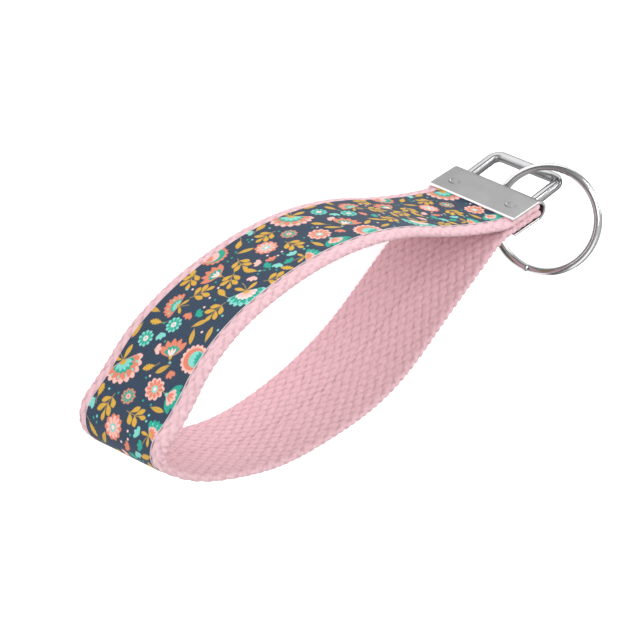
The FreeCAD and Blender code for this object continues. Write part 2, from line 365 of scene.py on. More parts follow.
def webbing_profile():
    """The strap's cross-section as a closed line: across, out, and the distance round it."""
    half = STRAP_WIDTH_MM / 2 - 0.1
    thick = WEBBING_THICKNESS_MM / 2
    straight = half - thick
    columns = 118
    bend = 9
    across, out = [], []
    for v in np.linspace(-straight, straight, columns, endpoint=False):
        across.append(v)
        out.append(thick)
    for angle in np.linspace(math.pi / 2, -math.pi / 2, bend, endpoint=False):
        across.append(straight + thick * math.cos(angle))
        out.append(thick * math.sin(angle))
    for v in np.linspace(straight, -straight, columns, endpoint=False):
        across.append(v)
        out.append(-thick)
    for angle in np.linspace(math.pi * 1.5, math.pi * 0.5, bend, endpoint=False):
        across.append(-straight + thick * math.cos(angle))
        out.append(thick * math.sin(angle))
    across, out = np.array(across), np.array(out)
    steps = np.hypot(np.diff(across, append=across[0]), np.diff(out, append=out[0]))
    distance = np.concatenate([[0], np.cumsum(steps)[:-1]])
    return across, out, distance


def scallop(turns):
    """One rounded tooth a turn, from 0 to 1, steeper on one side."""
    share = np.mod(turns, 1)
    return np.sin(math.pi * share**0.7)


def make_webbing():
    """The strap's webbing, with each warp float raised and its selvage edges corded."""
    line = centre_line(0.27)
    across, out, distance = webbing_profile()
    gone = line[0][:, None]
    height = weave(gone, distance[None, :])
    # For the painted shade on one side of each float: the weave's height a little way off, on
    # alternate sides from column to column.
    slant = 1 - 2 * (np.round(distance / WARP_PITCH_MM) % 2)
    beyond = weave(gone + FLOAT_SHADE_OFFSET_MM[0], (distance + slant * FLOAT_SHADE_OFFSET_MM[1])[None, :])
    half = STRAP_WIDTH_MM / 2
    to_edge = half - np.abs(across)[None, :]
    under_ribbon = (np.abs(across) < RIBBON_WIDTH_MM / 2 + 0.2) & (out > 0.5)
    to_end = np.minimum(gone, gone[-1, 0] - gone)
    in_clamp = np.clip(to_end / GRIP_MM, 0, 1) < 0.99
    flatter = EDGE_FLATTENING * np.clip(1.3 - to_edge / 3.0, 0, 1)
    rise = RELIEF_MM * (height - WEAVE_LEVEL) * (1 - flatter)
    rise = np.where(under_ribbon[None, :], np.minimum(rise, 0) - UNDER_RIBBON_MM, rise)
    beside_ribbon = (np.abs(across) > RIBBON_WIDTH_MM / 2 + 0.3) & (out > 0)
    clamped = np.minimum(rise, 0) * CLAMPED_RELIEF + CLAMP_FILL_MM * beside_ribbon[None, :]
    rise = np.where(in_clamp, clamped, rise)
    thick = WEBBING_THICKNESS_MM / 2
    selvage = np.clip(1 - to_edge / SELVAGE_WIDTH_MM, 0, 1)
    turns = 2 * gone / FLOAT_PITCH_MM + 0.15 * slow_noise(gone, 0 * gone, seed=8, scale=15.0)
    bulge = selvage * scallop(turns)
    scale = 1 + (rise - EDGE_ROUNDING_MM * np.clip(1 - to_edge / 0.6, 0, 1)) / thick
    side = np.sign(across)[None, :]
    inset = np.where(side > 0, SELVAGE_INSET_MM[1], SELVAGE_INSET_MM[0])
    points = strap_points(
        line, across[None, :] + side * (SELVAGE_MM * bulge - inset), out[None, :] * scale
    )
    near_end = np.clip(1 - to_end / CORNER_REACH_MM, 0, 1)
    corner = np.clip(SELVAGE_WIDTH_MM - to_edge, 0, 1)
    points[:, :, 0] -= CORNER_SPREAD_MM * MM * near_end * corner
    rows, columns = len(gone), len(across)
    quads = grid_faces(rows, columns, True)
    webbing = new_object("webbing", points.reshape(-1, 3), quads, end_caps(rows, columns))
    # The material paints shade from these: between floats where the height is low, and on the side
    # of each float that the mesh marks as shaded.
    add_attribute(webbing, "height", height)
    add_attribute(webbing, "float_shade", np.clip(FLOAT_SHADE_CONTRAST * (beyond - height), 0, 1))
    add_flat_place(webbing, (rows, columns), gone, distance[None, :])
    return webbing


# Ribbon print -------------------------------------------------------------------------------


class Print:
    """A colour for each point of a flat, endlessly repeated pattern. Points are (along, across)
    in mm. Each shape is drawn over those before it, with an edge that fades over soft mm."""

    def __init__(self, along, across, ground, soft):
        self.along = along.ravel()
        self.across = across.ravel()
        self.colour = np.tile(np.array(ground, float), (self.along.size, 1))
        self.soft = soft

    def near(self, centre, reach):
        """Which points lie within reach of centre, and their offsets from it."""
        dx = self.along - centre[0] + PATTERN_LENGTH_MM / 2
        dx = np.mod(dx, PATTERN_LENGTH_MM) - PATTERN_LENGTH_MM / 2
        dy = self.across - centre[1]
        chosen = np.nonzero((np.abs(dx) < reach) & (np.abs(dy) < reach))[0]
        return chosen, dx[chosen], dy[chosen]

    def draw(self, chosen, inside, colour):
        """inside is how far each chosen point is within the shape, in mm."""
        cover = np.clip(inside / self.soft + 0.5, 0, 1)[:, None]
        self.colour[chosen] += (np.array(colour) - self.colour[chosen]) * cover

    def disc(self, centre, radius, colour):
        chosen, x, y = self.near(centre, radius + 1)
        self.draw(chosen, radius - np.hypot(x, y), colour)

    def leaf(self, foot, turn, length, width, colour, lobes=0, blunt=0.5):
        """A leaf from its foot, pointing turn radians; blunt moves its widest part to the tip."""
        chosen, x, y = self.near(foot, length + 1)
        u = (x * math.cos(turn) + y * math.sin(turn)) / length
        v = -x * math.sin(turn) + y * math.cos(turn)
        share = np.clip(u, 0, 1)
        body = np.sin(math.pi * share ** (1 + blunt)) ** 0.8 * width / 2
        if lobes:
            body *= 0.62 + 0.38 * np.abs(np.sin(math.pi * lobes * share + 0.5))
        inside = np.where((u > 0) & (u < 1), body - np.abs(v), -1.0)
        self.draw(chosen, inside, colour)

    def fan(self, foot, turn, radius, spread, scallops, colour):
        """A sector from its foot with a scalloped rim."""
        chosen, x, y = self.near(foot, radius * 1.3 + 1)
        angle = np.arctan2(y, x) - turn
        angle = np.mod(angle + math.pi, 2 * math.pi) - math.pi
        reach = np.hypot(x, y)
        share = np.clip(angle / spread, -1, 1)
        wave = np.abs(np.cos(math.pi * scallops * (share + 1) / 2 + math.pi / 2))
        rim = radius * (0.86 + 0.14 * wave) * (1 - 0.10 * share**2)
        inside = np.minimum(rim - reach, (spread - np.abs(angle)) * reach)
        self.draw(chosen, inside, colour)

    def rosette(self, centre, radius, petals, colour, depth=0.18, turn=0.0):
        """A round flower with a scalloped rim."""
        chosen, x, y = self.near(centre, radius * 1.2 + 1)
        angle = np.arctan2(y, x) + turn
        rim = radius * (1 - depth + depth * np.abs(np.cos(petals * angle / 2)))
        self.draw(chosen, rim - np.hypot(x, y), colour)

    def stem(self, start, turn, length, bend, width, colour):
        """A thin line that leaves start at turn and bends evenly by bend radians."""
        chosen, x, y = self.near(start, length + 1)
        nearest = np.full(x.shape, np.inf)
        steps = 14
        px = py = 0.0
        for i in range(steps):
            angle = turn + bend * (i + 0.5) / steps
            qx = px + math.cos(angle) * length / steps
            qy = py + math.sin(angle) * length / steps
            vx, vy = qx - px, qy - py
            share = np.clip(((x - px) * vx + (y - py) * vy) / (vx * vx + vy * vy), 0, 1)
            nearest = np.minimum(nearest, np.hypot(x - px - share * vx, y - py - share * vy))
            px, py = qx, qy
        self.draw(chosen, width / 2 - nearest, colour)


def step_from(point, turn, distance):
    """The point that lies distance away from another, turn radians from the pattern's length."""
    return point[0] + math.cos(turn) * distance, point[1] + math.sin(turn) * distance


def fan_flower(sheet, centre, turn, size, colours):
    """A half-round flower of layered fans over a cup and two long leaves."""
    rim, body, inner, heart = colours
    foot = step_from(centre, turn, -size * 0.22)
    sheet.stem(foot, turn + math.pi, size * 0.42, 0.5, 0.24, OLIVE)
    for side in (-1, 1):
        sheet.leaf(foot, turn + side * 2.25, size * 0.42, size * 0.13, MUSTARD)
    sheet.fan(foot, turn, size * 0.64, 1.42, 9, rim)
    sheet.fan(foot, turn, size * 0.54, 1.38, 8, body)
    for i in range(5):
        heading = turn + (i - 2) * 0.50
        sheet.leaf(step_from(foot, heading, size * 0.38), heading, size * 0.12, size * 0.06, MINT)
    sheet.fan(foot, turn, size * 0.37, 1.34, 7, inner)
    for i in range(5):
        sheet.leaf(foot, turn + (i - 2) * 0.50, size * 0.30, size * 0.10, heart, blunt=0.8)
    sheet.fan(foot, turn, size * 0.13, 1.30, 3, MUSTARD)


def ring_flower(sheet, centre, turn, size, colours):
    """A round scalloped flower with an off-centre ring, on a curved stem with lobed leaves."""
    rim, body, inner, heart = colours
    tail = step_from(centre, turn, size * 0.45)
    sheet.stem(tail, turn, size * 0.9, 0.4, 0.24, OLIVE)
    joint = step_from(tail, turn + 0.1, size * 0.35)
    for side in (-1, 1):
        sheet.leaf(joint, turn + side * 1.25, size * 0.55, size * 0.26, MUSTARD, lobes=4)
    sheet.rosette(centre, size * 0.52, 16, rim, 0.14)
    sheet.disc(centre, size * 0.40, body)
    sheet.disc(step_from(centre, turn, size * 0.10), size * 0.29, inner)
    for i in range(5):
        sheet.leaf(step_from(centre, turn, size * 0.40), turn + math.pi + (i - 2) * 0.36,
                   size * 0.38, size * 0.11, heart, blunt=0.7)
    sheet.leaf(step_from(centre, turn, size * 0.60), turn + math.pi, size * 0.26, size * 0.16,
               MUSTARD)


def daisy(sheet, centre, turn, size, colours):
    """A small rosette with a ring of petals and a dotted eye."""
    rim, body, inner, heart = colours
    sheet.rosette(centre, size * 0.50, 10, rim, 0.20, turn)
    for i in range(10):
        sheet.leaf(centre, turn + i * math.pi / 5, size * 0.43, size * 0.15, body, blunt=0.9)
    sheet.disc(centre, size * 0.16, inner)
    sheet.disc(centre, size * 0.08, heart)


def tulip(sheet, centre, turn, size, colours):
    """An open bud with a pointed rim over layered petals."""
    rim, body, inner, heart = colours
    foot = step_from(centre, turn, -size * 0.45)
    sheet.stem(foot, turn + math.pi, size * 0.5, -0.5, 0.22, OLIVE)
    for i in range(5):
        sheet.leaf(foot, turn + (i - 2) * 0.42, size * 0.98, size * 0.34, rim, blunt=0.4)
    sheet.fan(foot, turn, size * 0.62, 0.95, 5, body)
    for i in range(3):
        sheet.leaf(foot, turn + (i - 1) * 0.45, size * 0.48, size * 0.12, inner, blunt=0.6)
    sheet.disc(foot, size * 0.09, heart)


def sprig(sheet, centre, turn, size, colours):
    """Paired round-tipped leaves on a short stem."""
    foot = step_from(centre, turn, -size * 0.5)
    sheet.stem(foot, turn, size * 0.75, 0.25, 0.24, OLIVE)
    for i, share in enumerate((0.18, 0.5)):
        joint = step_from(foot, turn + 0.1, size * share)
        for side in (-1, 1):
            sheet.leaf(joint, turn + side * 0.85 + 0.1, size * 0.55, size * 0.25, colours[0],
                       blunt=0.55)
    sheet.leaf(step_from(foot, turn + 0.15, size * 0.7), turn + 0.2, size * 0.45, size * 0.22,
               colours[0], blunt=0.55)


def lobed_leaf(sheet, centre, turn, size, colours):
    """One leaf with a toothed edge and a stem."""
    foot = step_from(centre, turn, -size * 0.5)
    sheet.stem(foot, turn + math.pi, size * 0.35, 0.6, 0.22, OLIVE)
    sheet.leaf(foot, turn, size, size * 0.46, colours[0], lobes=5, blunt=0.25)


def long_leaf(sheet, centre, turn, size, colours):
    """A smooth leaf with a parted middle."""
    foot = step_from(centre, turn, -size * 0.5)
    sheet.leaf(foot, turn, size, size * 0.30, colours[0], blunt=0.2)
    sheet.stem(foot, turn, size * 0.75, 0.0, 0.14, OLIVE)


def heart_bud(sheet, centre, turn, size, colours):
    """A three-lobed bud."""
    foot = step_from(centre, turn, -size * 0.5)
    for side in (-1, 0, 1):
        sheet.leaf(foot, turn + side * 0.62, size, size * 0.46, colours[0], blunt=0.75)


def dot(sheet, centre, turn, size, colours):
    sheet.disc(centre, size * 0.5, colours[0])


MOTIFS = [
    # what to draw, how many, size in mm, room it takes as a share of its size, colour sets
    (fan_flower, 1, 10.4, 0.56, [(PINK, CORAL, TEAL, MINT)]),
    (fan_flower, 1, 8.6, 0.56, [(MINT, TEAL, BLUSH, PINK)]),
    (ring_flower, 2, 7.2, 0.66, [(CORAL, TEAL, PINK, CORAL), (PINK, CORAL, MINT, TEAL)]),
    (fan_flower, 2, 6.6, 0.56, [(TEAL, TEAL, PINK, CORAL), (CORAL, CORAL, TEAL, MINT)]),
    (daisy, 2, 6.0, 0.55, [(CORAL, PINK, MINT, BLUSH), (PINK, CORAL, MINT, BLUSH)]),
    (tulip, 3, 5.2, 0.56, [(CORAL, TEAL, BLUSH, MUSTARD), (TEAL, PINK, CORAL, MINT)]),
    (daisy, 3, 4.4, 0.55, [(MINT, TEAL, BLUSH, MINT), (CORAL, TEAL, PINK, CORAL)]),
    (sprig, 8, 5.6, 0.50, [(MUSTARD,)]),
    (lobed_leaf, 7, 3.9, 0.44, [(MUSTARD,)]),
    (long_leaf, 8, 4.4, 0.38, [(MUSTARD,)]),
    (heart_bud, 13, 2.2, 0.56, [(MINT,), (TEAL,), (CORAL,), (PINK,)]),
    (dot, 36, 0.60, 0.80, [(MINT,), (TEAL,), (BLUSH,), (TEAL,)]),
]
BIG_MOTIF_MM = 5.9


def scatter(seed, half_width):
    """Places for the motifs: (draw, centre, turn, size, colours), largest first. Of many random
    tries, a big motif takes the one with the most room and a small one the tightest that fits.
    The pattern repeats along the ribbon."""
    random = np.random.RandomState(seed)
    placed = []
    taken = np.zeros((0, 3))
    for draw, count, size, room, colour_sets in MOTIFS:
        for i in range(count):
            tries = np.stack([random.uniform(0, PATTERN_LENGTH_MM, PLACE_TRIES),
                              random.uniform(-half_width, half_width, PLACE_TRIES)], 1)
            radius = size * room
            if len(taken):
                dx = tries[:, None, 0] - taken[None, :, 0] + PATTERN_LENGTH_MM / 2
                dx = np.mod(dx, PATTERN_LENGTH_MM) - PATTERN_LENGTH_MM / 2
                dy = tries[:, None, 1] - taken[None, :, 1]
                space = (np.hypot(dx, dy) - taken[None, :, 2]).min(1)
            else:
                space = np.full(PLACE_TRIES, PATTERN_LENGTH_MM)
            best = int(np.argmin(np.abs(space - radius - MOTIF_GAP_MM)))
            if space.max() < radius or size > BIG_MOTIF_MM:
                best = int(np.argmax(space))
            centre = tries[best]
            taken = np.vstack([taken, [centre[0], centre[1], radius]])
            turn = random.uniform(0, 2 * math.pi)
            colours = colour_sets[i % len(colour_sets)]
            placed.append((draw, tuple(centre), turn, size, colours))
    return placed


def ribbon_colours(along, across):
    """The print's linear colour at each point."""
    sheet = Print(along, across, NAVY, 0.16)
    for draw, centre, turn, size, colours in scatter(11, RIBBON_WIDTH_MM / 2 - 0.5):
        draw(sheet, centre, turn, size, colours)
    return sheet.colour


def make_ribbon():
    """The ribbon on the strap's outside: a printed face, pale cut edges and a plain back."""
    line = centre_line(RIBBON_STEP_MM)
    half = RIBBON_WIDTH_MM / 2 - RIBBON_INSET_MM
    low = WEBBING_THICKNESS_MM / 2 - RIBBON_SINK_MM
    high = low + RIBBON_THICKNESS_MM
    top = np.linspace(-half, half, 163)
    back = np.linspace(half - 0.03, -half + 0.03, 12)
    across = np.concatenate([top, back])
    out = np.concatenate([np.full(top.shape, high), np.full(back.shape, low)])
    out[[0, len(top) - 1]] = high - RIBBON_EDGE_DROP_MM
    gone = line[0][:, None]
    sag = RIBBON_SAG_MM * slow_noise(gone, across[None, :], seed=21, scale=9.0)
    out = out[None, :] + np.where(out[None, :] > low + 0.1, sag - RIBBON_SAG_MM, 0)
    points = strap_points(line, across[None, :], out)
    rows, columns = len(gone), len(across)
    quads = grid_faces(rows, columns, True)
    ribbon = new_object("ribbon", points.reshape(-1, 3), quads, end_caps(rows, columns))
    along = np.broadcast_to(gone, (rows, columns))
    side = np.broadcast_to(across[None, :], (rows, columns))
    colours = ribbon_colours(along, side).reshape(rows, columns, 3)
    colours[:, [0, len(top) - 1]] = THREAD_WHITE
    colours[:, len(top):] = THREAD_WHITE
    add_colours(ribbon, "print", colours.reshape(-1, 3))
    add_flat_place(ribbon, (rows, columns), along, side)
    return ribbon


# Materials ----------------------------------------------------------------------------------


class Nodes:
    """Short ways to build a material's node tree."""

    def __init__(self, name):
        self.material = bpy.data.materials.new(name)
        self.material.use_nodes = True
        self.tree = self.material.node_tree
        self.shader = self.tree.nodes["Principled BSDF"]

    def add(self, kind, **settings):
        node = self.tree.nodes.new(kind)
        for key, value in settings.items():
            setattr(node, key, value)
        return node

    def plug(self, source, target):
        self.tree.links.new(source, target)

    def put(self, socket, value):
        """Sets a socket to a number or colour, or links it to an output."""
        if isinstance(value, bpy.types.NodeSocket):
            self.plug(value, socket)
        else:
            socket.default_value = value

    def attribute(self, name, output="Fac"):
        node = self.add("ShaderNodeAttribute", attribute_name=name)
        return node.outputs[output]

    def noise(self, scale, vector=None, detail=2.0, roughness=0.5):
        node = self.add("ShaderNodeTexNoise")
        node.inputs["Scale"].default_value = scale
        node.inputs["Detail"].default_value = detail
        node.inputs["Roughness"].default_value = roughness
        if vector is None:
            vector = self.add("ShaderNodeTexCoord").outputs["Object"]
        self.plug(vector, node.inputs["Vector"])
        return node.outputs["Fac"]

    def wave(self, scale, vector, direction="X", distortion=0.0):
        node = self.add("ShaderNodeTexWave", bands_direction=direction)
        node.inputs["Scale"].default_value = scale
        node.inputs["Distortion"].default_value = distortion
        node.inputs["Detail"].default_value = 1.0
        self.plug(vector, node.inputs["Vector"])
        return node.outputs["Fac"]

    def math(self, operation, a, b):
        node = self.add("ShaderNodeMath", operation=operation)
        self.put(node.inputs[0], a)
        self.put(node.inputs[1], b)
        return node.outputs[0]

    def scale(self, value, low, high, to_low, to_high):
        node = self.add("ShaderNodeMapRange")
        for socket, number in zip(node.inputs[:5], (value, low, high, to_low, to_high)):
            self.put(socket, number)
        return node.outputs[0]

    def mix(self, share, first, second, blend="MIX"):
        node = self.add("ShaderNodeMix", data_type="RGBA", blend_type=blend)
        self.put(node.inputs["Factor"], share)
        self.put(node.inputs[6], self.colour(first))
        self.put(node.inputs[7], self.colour(second))
        return node.outputs[2]

    def colour(self, value):
        if isinstance(value, tuple) and len(value) == 3:
            return (*value, 1.0)
        return value

    def bump(self, height, distance, strength=1.0, normal=None):
        node = self.add("ShaderNodeBump")
        node.inputs["Strength"].default_value = strength
        node.inputs["Distance"].default_value = distance
        self.plug(height, node.inputs["Height"])
        if normal is not None:
            self.plug(normal, node.inputs["Normal"])
        return node.outputs["Normal"]

    def set(self, **sockets):
        """Sets the shader's inputs, named with _ for a space."""
        for name, value in sockets.items():
            self.put(self.shader.inputs[name.replace("_", " ")], self.colour(value))
        return self.material


def webbing_material():
    """Matte pink yarn with twisted fibres, darkened with painted shade in the gaps between floats,
    on one side of each float and in the troughs of the fibre relief.
    """
    n = Nodes("webbing_yarn")
    flat = n.attribute("flat_mm", "Vector")
    height = n.attribute("height")
    # Painted shade: the yarn is mixed towards a dark pink where the weave is low, between floats,
    # and on the side of each float that the mesh marks as shaded, in random patches.
    gap_shade = n.scale(height, 0.0, 0.6, 0.45, 0.0)
    patch = n.scale(n.noise(0.8, flat, 3.0), 0.42, 0.58, 0.50, 1.0)
    shade = n.math("MULTIPLY", n.math("MAXIMUM", gap_shade, n.attribute("float_shade")), patch)
    pale = n.mix(n.noise(0.35, flat), linear(219, 181, 188), linear(227, 190, 196))
    yarn = n.mix(n.scale(n.noise(0.9, flat), 0.35, 0.65, 0.0, 0.6), pale, linear(206, 165, 173))
    shaded_yarn = n.mix(shade, yarn, linear(168, 124, 133))
    fibre = n.wave(1.15, flat, "DIAGONAL", 2.2)
    fuzz = n.noise(9.0, flat, 3.0, 0.6)
    toned = n.mix(n.scale(fuzz, 0.3, 0.7, 0.0, 0.16), shaded_yarn, linear(255, 232, 234))
    # Painted shade: the yarn is a little darker in the troughs of the fibre relief.
    fibre_shaded = n.mix(n.scale(fibre, 0.0, 1.0, 0.10, 0.0), toned, linear(205, 140, 150))
    relief = n.math("ADD", n.math("MULTIPLY", fibre, 0.6), fuzz)
    normal = n.bump(relief, 0.00009, 0.7)
    return n.set(
        Base_Color=fibre_shaded,
        Roughness=n.scale(fuzz, 0.2, 0.8, 0.82, 0.98),
        Normal=normal,
        Sheen_Weight=0.25,
        Sheen_Roughness=0.5,
        Specular_IOR_Level=0.2,
    )


def ribbon_material():
    """Printed ribbon with fine cross ribs, each with a painted highlight."""
    n = Nodes("ribbon_print")
    flat = n.attribute("flat_mm", "Vector")
    ink = n.attribute("print", "Color")
    rib = n.wave(math.pi / 10 / RIB_PITCH_MM, flat, "X", 0.3)
    speck = n.noise(3.0, flat, 3.0, 0.6)
    # Painted highlight: each rib is mixed a little towards pale grey-blue.
    light = n.scale(rib, 0.0, 1.0, 0.0, 0.03)
    tone = n.mix(light, ink, linear(214, 222, 230))
    dull = n.mix(n.scale(speck, 0.35, 0.75, 0.0, 0.12), tone, linear(34, 44, 60))
    normal = n.bump(n.math("ADD", rib, n.math("MULTIPLY", speck, 0.4)), 0.00005, 0.8)
    return n.set(
        Base_Color=dull,
        Roughness=n.scale(speck, 0.3, 0.7, 0.58, 0.74),
        Normal=normal,
        Specular_IOR_Level=0.22,
    )


def plated(n, tone, grain):
    """Uneven plated metal: its colour, a noise for its gloss, and its scratched normal."""
    coords = n.add("ShaderNodeTexCoord").outputs["Object"]
    stretched = n.add("ShaderNodeMapping")
    stretched.inputs["Scale"].default_value = grain
    n.plug(coords, stretched.inputs["Vector"])
    scratch = n.noise(900.0, stretched.outputs["Vector"], 4.0, 0.65)
    cloud = n.noise(160.0, coords, 3.0, 0.55)
    colour = n.mix(n.scale(cloud, 0.35, 0.7, 0.0, 0.35), tone, tuple(c * 0.80 for c in tone))
    return colour, n.math("ADD", scratch, cloud), n.bump(scratch, 0.000012, 0.5)


def wire_material(name, tone, grain, shade_and_wear):
    """Bright plated wire, darkened with painted shade and made rougher on its inner side, more so
    in its bends and all round at its cut ends.
    """
    n = Nodes(name)
    colour, gloss, normal = plated(n, tone, grain)
    # Painted shade: the wire's colour is darkened on its inner side, more in bends and at cut
    # ends; the roughness rises there too.
    inner_shade_and_wear = n.scale(n.attribute("inner"), 0.55, 1.0, 0.0, shade_and_wear)
    return n.set(
        Base_Color=n.mix(inner_shade_and_wear, colour, tuple(c * 0.30 for c in tone)),
        Metallic=1.0,
        Specular_Tint=DARK_EDGE,
        Roughness=n.math("ADD", n.scale(gloss, 0.6, 1.4, 0.07, 0.15),
                         n.math("MULTIPLY", inner_shade_and_wear, 0.45)),
        Normal=normal,
    )


def clamp_material():
    """Satin plate with a painted highlight on its lip and cut ends, which are also glossier, and
    painted shade inside its roll.
    """
    n = Nodes("clamp_satin")
    colour, gloss, normal = plated(n, SATIN, (1, 1, 14))
    place = n.add("ShaderNodeSeparateXYZ")
    n.plug(n.add("ShaderNodeTexCoord").outputs["Object"], place.inputs[0])
    x, y, z = place.outputs
    # Painted highlight: thin bands along the mouth's lip and the plate's cut ends get a pale tone,
    # and less roughness.
    lip = n.scale(x, MOUTH[0] - LIP_MM[0] * MM, MOUTH[0] - LIP_MM[0] * 0.75 * MM, 0.0, 1.0)
    top = n.scale(z, CLAMP_ENDS[1] - 0.30 * MM, CLAMP_ENDS[1] - 0.15 * MM, 0.0, 1.0)
    bottom = n.scale(z, CLAMP_ENDS[0] + 0.30 * MM, CLAMP_ENDS[0] + 0.15 * MM, 0.0, 1.0)
    highlight_and_polish = n.math("MAXIMUM", lip, n.math("MAXIMUM", top, bottom))
    # Painted shade: the inner surface of the roll gets a dark tone.
    into_roll = n.math("MAXIMUM", n.math("SUBTRACT", CLAMP_LOW.x + CLAMP_HALF_MM * MM, x), 0.0)
    beside = n.math("SUBTRACT", y, float(MOUTH[1]))
    squares = n.math("ADD", n.math("POWER", into_roll, 2.0), n.math("MULTIPLY", beside, beside))
    inner = (CLAMP_HALF_MM - PLATE_THICKNESS_MM) * MM
    inside = n.scale(n.math("SQRT", squares, 0.0), inner + 0.02 * MM, inner + 0.12 * MM, 1.0, 0.0)
    shade = n.math("MULTIPLY", inside, n.math("SUBTRACT", 1.0, highlight_and_polish))
    return n.set(
        Base_Color=n.mix(shade, n.mix(highlight_and_polish, colour, HIGHLIGHT_TONE), ROLL_SHADE_TONE),
        Metallic=1.0,
        Specular_Tint=GREY_EDGE,
        Roughness=n.mix(highlight_and_polish, n.scale(gloss, 0.6, 1.4, 0.34, 0.46), (0.24, 0.24, 0.24)),
        Normal=normal,
    )


def dress(thing, material):
    thing.data.materials.clear()
    thing.data.materials.append(material)


# Metal pieces -------------------------------------------------------------------------------


def sweep(name, centres, sides, ups, profile, closed):
    """A solid swept along centres. Each profile point is (along side, along up), in mm."""
    profile = np.array(profile)
    points = (
        centres[:, None, :]
        + sides[:, None, :] * profile[None, :, :1]
        + ups[:, None, :] * profile[None, :, 1:]
    )
    rows, columns = points.shape[:2]
    if closed:
        points = np.concatenate([points, points[:1]])
        quads = grid_faces(rows + 1, columns, True) % (rows * columns)
        points = points[:-1]
        caps = []
    else:
        quads = grid_faces(rows, columns, True)
        caps = end_caps(rows, columns)
    thing = new_object(name, points.reshape(-1, 3) * MM, quads, caps)
    # The inner attribute says where the wire's material paints shade and raises roughness: its
    # inner side, more in bends, and all round at cut ends.
    inner = np.tile(-profile[:, 0] / np.abs(profile[:, 0]).max(), (rows, 1))
    turning = np.linalg.norm(np.roll(sides, -1, 0) - np.roll(sides, 1, 0), axis=1)
    inner *= 1 + BEND_SHADE_AND_WEAR * np.clip(turning / BEND_TURN - 1, 0, 1)[:, None]
    if not closed:
        inner[:CUT_END_ROWS] = 1
        inner[-CUT_END_ROWS:] = 1
    add_attribute(thing, "inner", inner)
    return thing


def place(thing, origin, turn):
    """Turns a mesh about its own origin, then moves it, in the mesh itself."""
    thing.data.transform(Matrix.Translation(origin) @ turn.to_4x4())


def fix_normals(thing, sharp_deg=35):
    """Turns all faces outwards and keeps edges steeper than sharp_deg crisp."""
    work = bmesh.new()
    work.from_mesh(thing.data)
    bmesh.ops.recalc_face_normals(work, faces=work.faces)
    work.to_mesh(thing.data)
    work.free()
    thing.data.shade_smooth()
    thing.data.set_sharp_from_angle(angle=math.radians(sharp_deg))


def make_ring():
    """The split ring: two coils of wire with a rounded section, with a step where one crosses."""
    radius = (RING_OUTER_MM - RING_BAND_MM) / 2
    level = (COIL_HEIGHT_MM + COIL_GAP_MM) / 2
    reach = 360 - RING_CROSSING_DEG / 2 - RING_END_GAP_DEG
    degrees = np.linspace(-reach, reach, 560)
    share = np.clip(degrees / RING_CROSSING_DEG + 0.5, 0, 1)
    height = level * (2 * share * share * (3 - 2 * share) - 1)
    angle = np.radians(degrees)
    sides = np.stack([np.cos(angle), np.sin(angle), np.zeros_like(angle)], -1)
    ups = np.tile([0.0, 0.0, 1.0], (len(angle), 1))
    taper = np.clip((reach - np.abs(degrees)) / COIL_END_TAPER_DEG, 0, 1)
    corner = np.linspace(0, 2 * math.pi, 28, endpoint=False)
    profile = np.stack([
        np.sign(np.cos(corner)) * np.abs(np.cos(corner)) ** COIL_SQUARENESS * RING_BAND_MM / 2,
        np.sign(np.sin(corner)) * np.abs(np.sin(corner)) ** COIL_SQUARENESS * COIL_HEIGHT_MM / 2,
    ], -1)
    shrink = (COIL_END_SIZE + (1 - COIL_END_SIZE) * np.sqrt(taper))[:, None]
    ring = sweep("ring", sides * radius + ups * height[:, None], sides * shrink, ups * shrink,
                 profile, False)
    turn = (
        Matrix.Rotation(math.radians(RING_AZIMUTH_DEG), 3, "Z")
        @ Matrix.Rotation(math.radians(RING_TILT_DEG), 3, "Y")
        @ Matrix.Rotation(math.radians(RING_SPIN_DEG), 3, "Z")
    )
    mount = [m for m in frame["record"]["mounts"] if m["name"] == "key_ring"][0]
    place(ring, Vector(mount["pos_m"]), turn)
    fix_normals(ring, 60)
    return ring


def loop_centre_line():
    """The wire loop's centre line with its hinged bar's middle at the origin: points and the
    outward side at each, going round."""
    half = LEG_SPREAD_MM / 2
    r = LOOP_CORNER_MM
    corners = [(-LOOP_REACH_MM + r, -half + r, 180), (-r, -half + r, 270),
               (-r, half - r, 0), (-LOOP_REACH_MM + r, half - r, 90)]
    centres, sides = [], []
    for x, z, start in corners:
        for degrees in np.linspace(start, start + 90, 15):
            angle = math.radians(degrees)
            side = np.array([math.cos(angle), 0, math.sin(angle)])
            centres.append(np.array([x, 0, z]) + side * r)
            sides.append(side)
    return np.array(centres), np.array(sides)


def make_loop():
    """The wire loop, round in section, turned to its rest angle about its hinged bar."""
    centres, sides = loop_centre_line()
    ups = np.tile([0.0, 1.0, 0.0], (len(centres), 1))
    corner = np.linspace(0, 2 * math.pi, 36, endpoint=False)
    profile = np.stack([np.cos(corner), np.sin(corner)], -1) * WIRE_MM / 2
    loop = sweep("loop", centres, sides, ups, profile, True)
    hinge = [j for j in frame["record"]["behaviour"]["joints"] if j["name"] == "loop_hinge"][0]
    place(loop, Vector(hinge["pos_m"]), Matrix.Rotation(math.radians(LOOP_ANGLE_DEG), 3, "Z"))
    fix_normals(loop, 60)
    return loop


